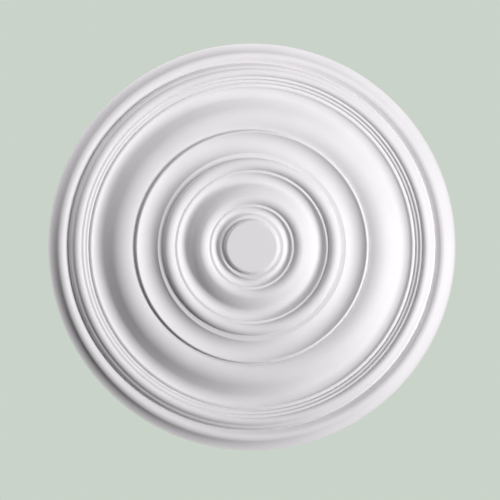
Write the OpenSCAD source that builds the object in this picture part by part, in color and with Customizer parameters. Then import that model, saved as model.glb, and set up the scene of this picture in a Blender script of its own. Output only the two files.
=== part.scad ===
// Plain ringed ceiling rose: one round moulding with a flat back.
// The back lies against the ceiling in the plane z = 0, and the relief hangs below it.
// The relief is a set of mouldings turned about the Z axis, from the centre outwards. A width
// is measured outward. A slope is in degrees, and says how steeply a surface falls back
// towards the ceiling on its way outward, or how steeply it rises where the name says rise.

/* [Overall] */
// Diameter of the whole rose
rose_d = 600; // [595:1:640]
// Height of the square edge that meets the ceiling
edge_t = 2.5; // [1:0.5:6]
// Width of the flat lip round the outside
lip_w = 1.5; // [0.5:0.5:4]

/* [Centre disc] */
// Radius of the flat disc in the middle
disc_r = 36; // [32:0.5:40]
// Width of the rounded edge of the disc
disc_round_w = 4.5; // [3:0.5:6]
// Slope at the top of the disc's rounded edge
disc_round_top = 20; // [5:1:30]
// Slope at the foot of the disc's rounded edge
disc_round_foot = 78; // [50:1:80]
// Height of the upright step below the disc's rounded edge
disc_step_h = 2.4; // [0.4:0.1:3]
// Width of the narrow flat round the disc
disc_flat_w = 5; // [3:0.5:7]
// Rise of the narrow flat round the disc
disc_flat_rise = 10; // [1:1:20]

/* [Eye hollow] */
// Width of the small round before the hollow
eye_round_w = 1.8; // [1.2:0.1:3]
// Width of the hollow round the disc
eye_hollow_w = 11; // [8:0.5:14]
// Slope on the inner side of the hollow
eye_hollow_fall = 70; // [30:1:76]
// Slope on the outer, rising side of the hollow
eye_hollow_rise = 78; // [40:1:80]
// Width of the rounded fillet before the boss ring
boss_fillet_w = 4; // [2.5:0.5:6]
// Slope at the foot of that fillet, and of the one before the collar
fillet_foot = 30; // [5:1:45]

/* [Boss ring] */
// Width of the boss ring's round
boss_round_w = 13.5; // [11:0.5:17]
// Rise at the foot of the boss ring's round
boss_round_rise = 66; // [50:1:78]
// Slope where the round runs into the long fall
boss_round_fall = 22; // [15:1:40]
// Width of the long fall
boss_fall_w = 15.5; // [12:0.5:18]
// Slope where the long fall meets the hollow
boss_fall_foot = 55; // [45:1:65]
// Width of the hollow outside the boss ring
boss_hollow_w = 17.5; // [14:0.5:21]
// Rise on the outer side of that hollow
boss_hollow_rise = 72; // [50:1:78]

/* [Collar ring] */
// Width of the fillet before the collar
collar_fillet_w = 4; // [2.5:0.5:6]
// Width of the collar's round
collar_round_w = 17; // [14:0.5:20]
// Rise at the foot of the collar's round
collar_round_rise = 78; // [50:1:80]
// Slope at the outer side of the collar's round
collar_round_fall = 72; // [50:1:80]
// Height of the upright step below the collar's round
collar_step_h = 1.8; // [0.4:0.1:3]
// Width of the flat outside the collar
collar_flat_w = 8; // [5:0.5:11]

/* [Scotia] */
// Width of the wide round hollow
scotia_w = 30; // [25:0.5:35]
// Slope on both sides of the wide hollow
scotia_slope = 46; // [35:1:60]
// Width of the flat crest of its lip
crest_w = 1; // [0.6:0.2:3]
// Width of the lip's rounded outer edge
crest_round_w = 2; // [1.2:0.2:4]
// Slope at the top of the lip's rounded edge
crest_round_top = 36; // [5:1:45]
// Slope at the foot of the lip's rounded edge
crest_round_foot = 74; // [50:1:78]
// Height of the upright step below the lip
crest_step_h = 3.6; // [1:0.1:4]

/* [Swell] */
// Width of the broad swell's gentle rise
swell_rise_w = 17; // [13:0.5:20]
// Slope at the start of that rise
swell_rise = 31; // [15:1:40]
// Width of the rounded fall beyond the swell's crest
swell_fall_w = 18; // [14:0.5:22]
// Slope at the end of the rounded fall, and of the straight slope below it
swell_slope = 38; // [30:1:45]
// Width of the hollow at the foot of the straight slope
swell_hollow_w = 14; // [11:0.5:17]
// Rise where the hollow ends and the steeper lift begins
swell_hollow_rise = 18; // [10:1:30]
// Width of the lift from the hollow to the bead
lift_w = 4.5; // [3:0.5:6]
// Rise at the top of the lift
lift_rise = 54; // [35:1:65]

/* [Bead and steps] */
// Width of the bead's top
bead_w = 1.5; // [1:0.1:3]
// Width of the bead's rounded outer side
bead_round_w = 3; // [2:0.5:4]
// Slope at the foot of the bead's outer side
bead_round_foot = 62; // [40:1:75]
// Width of each small sloping riser beyond the bead
riser_w = 2; // [1:0.2:3]
// Rise of the small risers
riser_rise = 55; // [40:1:65]
// Width of the first tread
tread_w = 3; // [2:0.5:5]
// Width of the second tread, at the foot of the outer ring
ring_tread_w = 3.5; // [2:0.5:5]

/* [Outer ring] */
// Width of the outer ring's rise to its crest
ring_rise_w = 5.5; // [4:0.5:7]
// Rise at the foot of the outer ring
ring_rise = 78; // [60:1:80]
// Width of the outer ring's fall from its crest
ring_fall_w = 6; // [4.5:0.5:8]
// Slope at the foot of that fall
ring_fall = 55; // [40:1:70]
// Width of the narrow weathered flat below the ring
ring_flat_w = 4; // [2.5:0.5:5]
// Slope of the narrow flat below the ring
ring_flat_slope = 22; // [5:1:35]
// Width of the lower round beyond the narrow flat
ring_drop_w = 4; // [3:0.5:6]
// Slope at the top of the lower round
ring_drop_top = 51; // [30:1:60]
// Slope at the foot of the lower round
ring_drop_foot = 72; // [65:1:78]

/* [Rim] */
// Width of the small round at the foot of the rim
rim_foot_w = 1.5; // [1:0.1:2.5]
// Rise at the foot of that small round
rim_foot_rise = 60; // [45:1:75]
// Width of the rim's straight rise
rim_rise_w = 5; // [3.5:0.5:7]
// Slope of the rim's straight rise
rim_rise = 35; // [25:1:42]
// Rise where the rim's round begins
rim_round_rise = 28; // [10:1:34]
// Width of the rim's round
rim_round_w = 10; // [8:0.5:12]
// Steepest slope of the rim, where its round turns into a hollow
rim_slope = 45; // [35:1:60]
// Width of the hollow that runs out to the flat lip
rim_hollow_w = 11.5; // [9:0.5:14]
// Slope where the hollow meets the flat lip
rim_hollow_foot = 12; // [2:1:20]

/* [Hidden] */
// Turn in slope, in degrees, of each straight piece that draws a curved moulding
slope_step = 7;
// Pieces round the full turn where a true round isn't drawn
turn_steps = 180;
// Slope at the crest of a bead or round, where it starts to turn over
crest_turn = 10;
rose_r = rose_d / 2;

// A moulding is [width, slope at its inner edge, slope at its outer edge], where a rise
// is a negative slope. An upright step is [0, height up].
disc_members = [
    [disc_r, 0, 0],
    [disc_round_w, disc_round_top, disc_round_foot],
    [0, -disc_step_h],
    [disc_flat_w, -disc_flat_rise, -disc_flat_rise]
];
eye_members = [
    [eye_round_w, crest_turn, eye_hollow_fall],
    [eye_hollow_w, eye_hollow_fall, -eye_hollow_rise],
    [boss_fillet_w, -crest_turn, fillet_foot]
];
boss_members = [
    [boss_round_w, -boss_round_rise, boss_round_fall],
    [boss_fall_w, boss_round_fall, boss_fall_foot],
    [boss_hollow_w, boss_fall_foot, -boss_hollow_rise]
];
collar_members = [
    [collar_fillet_w, 0, fillet_foot],
    [collar_round_w, -collar_round_rise, collar_round_fall],
    [0, -collar_step_h],
    [collar_flat_w, 0, 0]
];
scotia_members = [
    [scotia_w, scotia_slope, -scotia_slope],
    [crest_w, 0, 0],
    [crest_round_w, crest_round_top, crest_round_foot],
    [0, -crest_step_h]
];
swell_members = [
    [swell_rise_w, -swell_rise, 0],
    [swell_fall_w, 0, swell_slope]
];
foot_members = [
    [swell_hollow_w, swell_slope, -swell_hollow_rise],
    [lift_w, -swell_hollow_rise, -lift_rise]
];
step_members = [
    [bead_w, 0, crest_turn],
    [bead_round_w, crest_turn, bead_round_foot],
    [riser_w, -riser_rise, -riser_rise],
    [tread_w, 0, 0],
    [riser_w, -riser_rise, -riser_rise],
    [ring_tread_w, 0, crest_turn]
];
ring_members = [
    [ring_rise_w, -ring_rise, 0],
    [ring_fall_w, 0, ring_fall],
    [ring_flat_w, ring_flat_slope, ring_flat_slope],
    [ring_drop_w, ring_drop_top, ring_drop_foot]
];
rim_members = [
    [rim_foot_w, -rim_foot_rise, -rim_rise],
    [rim_rise_w, -rim_rise, -rim_rise],
    [rim_round_w, -rim_round_rise, rim_slope],
    [rim_hollow_w, rim_slope, rim_hollow_foot],
    [lip_w, 0, 0]
];
inner_members = concat(
    disc_members, eye_members, boss_members, collar_members, scotia_members, swell_members
);
outer_members = concat(foot_members, step_members, ring_members, rim_members);
// The straight slope under the swell takes up what is left of the radius.
straight_w = rose_r - total_width(inner_members) - total_width(outer_members);
straight_members = [[straight_w, swell_slope, swell_slope]];
members = concat(inner_members, straight_members, outer_members);

function total_width(list, i = 0) = i == len(list) ? 0 : list[i][0] + total_width(list, i + 1);

// Points of a circular arc from point p, of width w, that turns from slope a to slope b
function arc_points(p, w, a, b) =
    let (
        radius = w / (sin(b) - sin(a)),
        pieces = ceil(abs(b - a) / slope_step)
    )
    [
        for (i = [1 : pieces])
            let (slope = a + (b - a) * i / pieces)
            [p.x + radius * (sin(slope) - sin(a)), p.y - radius * (cos(a) - cos(slope))]
    ];

// Points that one moulding adds after point p
function member_points(p, m) =
    m[0] == 0 ? [[p.x, p.y + m[1]]] :
    m[1] == m[2] ? [[p.x + m[0], p.y - m[0] * tan(m[1])]] :
    arc_points(p, m[0], m[1], m[2]);

// Points of all the mouldings from number i on, each starting where the last one ended
function chain(list, p, i = 0) =
    i == len(list) ? [] :
    let (added = member_points(p, list[i]))
    concat(added, chain(list, added[len(added) - 1], i + 1));

relief_line = concat([[0, 0]], chain(members, [0, 0]));
// How far the centre disc stands below the flat lip
relief_h = -relief_line[len(relief_line) - 1].y;
face_line = [for (p = relief_line) [p.x, p.y + relief_h + edge_t]];
section = concat([[0, 0]], face_line, [[rose_r, 0]]);

// The section is drawn with its back down, turned round, and hung from the ceiling.
module ceiling_rose() {
    color("white")
        mirror([0, 0, 1])
            rotate_extrude($fn = turn_steps)
                polygon(section);
}

ceiling_rose();
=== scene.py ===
import math

import bmesh
import bpy
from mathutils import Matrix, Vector


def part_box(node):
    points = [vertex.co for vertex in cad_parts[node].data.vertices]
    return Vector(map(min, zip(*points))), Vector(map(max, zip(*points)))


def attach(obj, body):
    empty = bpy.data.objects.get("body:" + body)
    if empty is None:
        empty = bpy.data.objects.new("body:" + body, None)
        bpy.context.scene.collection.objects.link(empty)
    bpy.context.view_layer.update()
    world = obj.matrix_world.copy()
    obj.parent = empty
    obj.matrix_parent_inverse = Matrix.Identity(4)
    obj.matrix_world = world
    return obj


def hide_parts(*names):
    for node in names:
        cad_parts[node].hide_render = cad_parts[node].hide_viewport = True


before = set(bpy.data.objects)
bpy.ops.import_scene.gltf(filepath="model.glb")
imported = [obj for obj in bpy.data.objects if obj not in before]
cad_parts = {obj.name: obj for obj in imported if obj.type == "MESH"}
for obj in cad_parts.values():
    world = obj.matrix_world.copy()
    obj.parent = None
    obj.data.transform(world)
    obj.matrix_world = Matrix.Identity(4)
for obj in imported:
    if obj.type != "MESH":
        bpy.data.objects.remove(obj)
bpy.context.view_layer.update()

NODE = "ceiling_rose"
PRIMED, BARE = 0, 1  # places of the two finishes in the rose's list of materials
MM = 0.001

# Sizes of the finished mesh
TURN_STEPS = 216  # pieces round the full turn
MERGE_GAP = 0.002 * MM
STRAIGHT_TURN = math.radians(0.2)  # two pieces that turn less than this are one straight
ARRIS_TURN = math.radians(22)  # a corner that turns more than this is an arris
ARRIS_W = 0.3 * MM  # how far the primer rounds an arris, either side of it
ARRIS_STEPS = 3
CROWDED = 1.5 * ARRIS_W  # a point this near an arris leaves no room to round it
LONG_PIECE = 1.2 * MM  # a straight piece longer than this gets a ring near each end
RING_INSET = 0.35 * MM

# Finishes
GRAIN_DETAIL = 2.0  # octaves of noise in a coat's grain
MOTTLE_DETAIL = 3.0  # octaves of noise in its mottle
MOTTLE_SPREAD = (0.35, 0.65)  # the part of the noise's range where the two colours blend
FLOOR_ROUGHNESS = 0.9

# Framing: the camera stands straight below, and the view is a little wider than the rose
CAMERA_DROP = 3.0
VIEW_IN_ROSES = 1.23
VIEW_SHIFT = (-0.0038, -0.0062)  # as shares of the view's width
SENSOR_W = 36.0  # in millimetres, as the camera's own unit

# Studio: two key lamps stand far off on the +X side, and two fills stand close by
FLOOR_DROP = 3.4
FLOOR_W = 90.0
KEY_DISTANCE = 2.95
KEY_W = 0.7
FILL_DISTANCE = 0.8
FILL_W = 0.5

# Colours
PRIMER_WHITE = "#E3E0E3"
PRIMER_SHADE = "#E0DDE0"
FOAM_CREAM = "#E4E0D5"
FOAM_SHADE = "#DEDACE"
BACKDROP = "#CAD3C9"
FLOOR_PALE = "#CFD6CE"


def linear(hex_colour):
    """An sRGB hex colour as linear red, green, blue and a full alpha."""
    parts = [int(hex_colour[i : i + 2], 16) / 255 for i in (1, 3, 5)]
    return (*[p / 12.92 if p <= 0.04045 else ((p + 0.055) / 1.055) ** 2.4 for p in parts], 1.0)


# ---------------------------------------------------------------- mesh of the rose


def half_section(mesh):
    """The outline of a turned solid in the half plane y = 0, x >= 0, as a chain of edges that
    starts and ends on the axis. The first cut keeps only its own line, and the second keeps
    what lies on the +X side."""
    bm = bmesh.new()
    bm.from_mesh(mesh)
    bmesh.ops.remove_doubles(bm, verts=bm.verts, dist=MERGE_GAP)
    for normal, clear_outer in (((0, 1, 0), True), ((1, 0, 0), False)):
        bmesh.ops.bisect_plane(
            bm,
            geom=[*bm.verts, *bm.edges, *bm.faces],
            dist=MERGE_GAP,
            plane_co=(0, 0, 0),
            plane_no=normal,
            clear_inner=True,
            clear_outer=clear_outer,
        )
    straight = [v for v in inner_verts(bm) if turn_at(v) < STRAIGHT_TURN]
    bmesh.ops.dissolve_verts(bm, verts=straight)
    return bm


def turn_at(vert):
    """How far the outline turns at a vertex with two edges, in radians."""
    one, two = [edge.other_vert(vert).co - vert.co for edge in vert.link_edges]
    return math.pi - one.angle(two)


def inner_verts(bm):
    """The points of the outline, apart from its two ends on the axis."""
    return [v for v in bm.verts if len(v.link_edges) == 2]


def soften_arrises(bm):
    """Round every sharp corner of the outline, as a coat of primer does."""
    arrises = [v for v in inner_verts(bm) if turn_at(v) > ARRIS_TURN]
    crowded = [
        v
        for v in inner_verts(bm)
        if v not in arrises and min((v.co - a.co).length for a in arrises) < CROWDED
    ]
    bmesh.ops.dissolve_verts(bm, verts=crowded)
    bmesh.ops.bevel(
        bm,
        geom=arrises,
        offset=ARRIS_W,
        offset_type="OFFSET",
        segments=ARRIS_STEPS,
        profile=0.5,
        affect="VERTICES",
        material=-1,
        clamp_overlap=False,
    )


def ring_long_pieces(bm):
    """Put a point near each end of a long straight piece, so that a flat shades flat."""
    for edge in [e for e in bm.edges if e.calc_length() > LONG_PIECE]:
        first, last = edge.verts
        share = RING_INSET / edge.calc_length()
        added, _ = bmesh.utils.edge_split(edge, first, share)
        rest = added if last in added.verts else edge
        bmesh.utils.edge_split(rest, last, RING_INSET / rest.calc_length())


def rose_mesh(node):
    """The rose, spun from the section of its CAD node."""
    bm = half_section(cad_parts[node].data)
    soften_arrises(bm)
    ring_long_pieces(bm)
    bmesh.ops.spin(
        bm,
        geom=[*bm.verts, *bm.edges],
        cent=(0, 0, 0),
        axis=(0, 0, 1),
        angle=2 * math.pi,
        steps=TURN_STEPS,
        use_merge=True,
    )
    bmesh.ops.remove_doubles(bm, verts=bm.verts, dist=MERGE_GAP)
    bmesh.ops.recalc_face_normals(bm, faces=bm.faces)
    for face in bm.faces:
        face.smooth = True
        is_back = face.calc_center_median().z > -MERGE_GAP
        face.material_index = BARE if is_back else PRIMED
    mesh = bpy.data.meshes.new(node)
    bm.to_mesh(mesh)
    bm.free()
    return mesh


# ---------------------------------------------------------------- materials


def add(tree, kind, settings=(), **links):
    """Add a node, set its properties or its sockets' values, and link sockets into it."""
    node = tree.nodes.new(kind)
    for name, value in dict(settings).items():
        if name in node.inputs:
            node.inputs[name].default_value = value
        else:
            setattr(node, name, value)
    for name, socket in links.items():
        tree.links.new(socket, node.inputs[name])
    return node


def coat(name, colours, roughness, ior, grain, grain_depth, mottle):
    """A matt coat with a fine grain of a real size and a broad, faint mottle in its colour."""
    material = bpy.data.materials.new(name)
    material.use_nodes = True
    tree = material.node_tree
    tree.nodes.clear()
    place = add(tree, "ShaderNodeTexCoord").outputs["Object"]
    fine = add(
        tree,
        "ShaderNodeTexNoise",
        {"Scale": 1 / grain, "Detail": GRAIN_DETAIL},
        Vector=place,
    )
    broad = add(
        tree,
        "ShaderNodeTexNoise",
        {"Scale": 1 / mottle, "Detail": MOTTLE_DETAIL},
        Vector=place,
    )
    tint = add(tree, "ShaderNodeValToRGB", Fac=broad.outputs["Fac"])
    for stop, colour, position in zip(tint.color_ramp.elements, colours, MOTTLE_SPREAD):
        stop.color = linear(colour)
        stop.position = position
    dull = add(
        tree,
        "ShaderNodeMapRange",
        {"To Min": roughness[0], "To Max": roughness[1]},
        Value=fine.outputs["Fac"],
    )
    relief = add(tree, "ShaderNodeBump", {"Distance": grain_depth}, Height=fine.outputs["Fac"])
    surface = add(
        tree,
        "ShaderNodeBsdfPrincipled",
        {"IOR": ior},
        **{
            "Base Color": tint.outputs["Color"],
            "Roughness": dull.outputs["Result"],
            "Normal": relief.outputs["Normal"],
        },
    )
    add(tree, "ShaderNodeOutputMaterial", Surface=surface.outputs["BSDF"])
    return material


def primed_foam():
    """Rigid polyurethane foam, moulded with a dense skin and sprayed with white primer: smooth
    and matt, a very slightly cool white. The real spray grain is about 0.3 mm across, and it is
    drawn five times as coarse, so that it shows faintly from close by."""
    return coat(
        "sprayed_white_primer_on_polyurethane",
        colours=(PRIMER_SHADE, PRIMER_WHITE),
        roughness=(0.58, 0.68),
        ior=1.4,
        grain=1.5 * MM,
        grain_depth=0.012 * MM,
        mottle=60 * MM,
    )


def bare_foam():
    """The flat back, left as it came off the mould's lid: bare polyurethane skin, creamier
    and duller than the primer, with the fine grain of its cells and faint clouds in its
    colour where the foam filled the mould."""
    return coat(
        "bare_polyurethane_foam_skin",
        colours=(FOAM_SHADE, FOAM_CREAM),
        roughness=(0.7, 0.85),
        ior=1.4,
        grain=1.8 * MM,
        grain_depth=0.08 * MM,
        mottle=45 * MM,
    )


def ceiling_rose():
    """The moulding, with primer on its face and edge and bare foam on its back."""
    rose = bpy.data.objects.new("ceiling_rose_moulding", rose_mesh(NODE))
    bpy.context.scene.collection.objects.link(rose)
    rose.data.materials.append(primed_foam())
    rose.data.materials.append(bare_foam())
    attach(rose, "root")
    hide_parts(NODE)


# ---------------------------------------------------------------- studio


def camera():
    """Straight below the centre, looking up, with +X to the right of the view."""
    data = bpy.data.cameras.new("camera")
    rose_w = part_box(NODE)[1].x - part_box(NODE)[0].x
    data.sensor_width = SENSOR_W
    data.lens = SENSOR_W * CAMERA_DROP / (VIEW_IN_ROSES * rose_w)
    data.shift_x, data.shift_y = VIEW_SHIFT
    eye = bpy.data.objects.new("camera", data)
    eye.location = (0, 0, -CAMERA_DROP)
    eye.rotation_euler = (math.pi, 0, 0)
    bpy.context.scene.collection.objects.link(eye)
    bpy.context.scene.camera = eye


def soft_box(name, direction, distance, width, level):
    """A square lamp turned to the centre of the rose. Its direction is how far it stands below
    the ceiling and how far round from +X, in degrees. A level of 1 lights a surface that faces
    it squarely at that distance just as brightly as its own colour is written."""
    drop, turn = [math.radians(angle) for angle in direction]
    sideways = math.cos(drop)
    away = Vector((sideways * math.cos(turn), sideways * math.sin(turn), -math.sin(drop)))
    data = bpy.data.lights.new(name, "AREA")
    data.shape = "SQUARE"
    data.size = width
    data.energy = level * (math.pi * distance) ** 2
    lamp = bpy.data.objects.new(name, data)
    lamp.location = away * distance
    lamp.rotation_euler = (-away).to_track_quat("-Z", "Y").to_euler()
    lamp.visible_camera = False
    bpy.context.scene.collection.objects.link(lamp)


def overhead(direction, spread, level):
    """A broad, even light from above, for the floor and the flat back. The face is turned away
    from it. Direction and level are as for a soft box, and the drop is negative."""
    drop, turn = [math.radians(angle) for angle in direction]
    data = bpy.data.lights.new("overhead", "SUN")
    data.angle = math.radians(spread)
    data.energy = level * math.pi
    sun = bpy.data.objects.new("overhead", data)
    sun.rotation_euler = (0, math.pi / 2 + drop, turn)
    bpy.context.scene.collection.objects.link(sun)


def floor():
    """A pale floor far below, which keeps the shadow. Its bounce would flatten the shading of
    the relief, so it doesn't light the rose."""
    bm = bmesh.new()
    bmesh.ops.create_grid(bm, x_segments=1, y_segments=1, size=FLOOR_W / 2)
    bmesh.ops.translate(bm, verts=bm.verts, vec=(0, 0, -FLOOR_DROP))
    mesh = bpy.data.meshes.new("studio_floor")
    bm.to_mesh(mesh)
    bm.free()
    plane = bpy.data.objects.new("studio_floor", mesh)
    plane.visible_diffuse = False
    bpy.context.scene.collection.objects.link(plane)
    material = bpy.data.materials.new("pale_studio_floor")
    material.use_nodes = True
    surface = material.node_tree.nodes["Principled BSDF"]
    surface.inputs["Base Color"].default_value = linear(FLOOR_PALE)
    surface.inputs["Roughness"].default_value = FLOOR_ROUGHNESS
    mesh.materials.append(material)


def backdrop():
    """A pale backdrop that the camera and reflections see, and that sheds no light of its own
    on the rose."""
    world = bpy.data.worlds.new("studio")
    bpy.context.scene.world = world
    world.use_nodes = True
    tree = world.node_tree
    tree.nodes.clear()
    path = add(tree, "ShaderNodeLightPath").outputs
    seen = path["Is Camera Ray"]
    for kind in ("Is Glossy Ray", "Is Transmission Ray"):
        either = add(tree, "ShaderNodeMath", {"operation": "MAXIMUM"})
        tree.links.new(seen, either.inputs[0])
        tree.links.new(path[kind], either.inputs[1])
        seen = either.outputs[0]
    pale = add(tree, "ShaderNodeBackground", {"Color": linear(BACKDROP)}, Strength=seen)
    add(tree, "ShaderNodeOutputWorld", Surface=pale.outputs["Background"])


def studio():
    """Camera, floor and backdrop, the four soft boxes that model the relief, and the overhead."""
    camera()
    floor()
    backdrop()
    soft_box("key_high", (45, 0), KEY_DISTANCE, KEY_W, level=0.52)
    soft_box("key_low", (35, 20), KEY_DISTANCE, KEY_W, level=0.58)
    soft_box("near_fill", (42, -90), FILL_DISTANCE, FILL_W, level=0.3)
    soft_box("low_fill", (12, -150), FILL_DISTANCE, FILL_W, level=0.2)
    overhead((-70, 50), spread=20, level=1.0)
    bpy.context.scene.view_settings.view_transform = "Standard"


ceiling_rose()
studio()
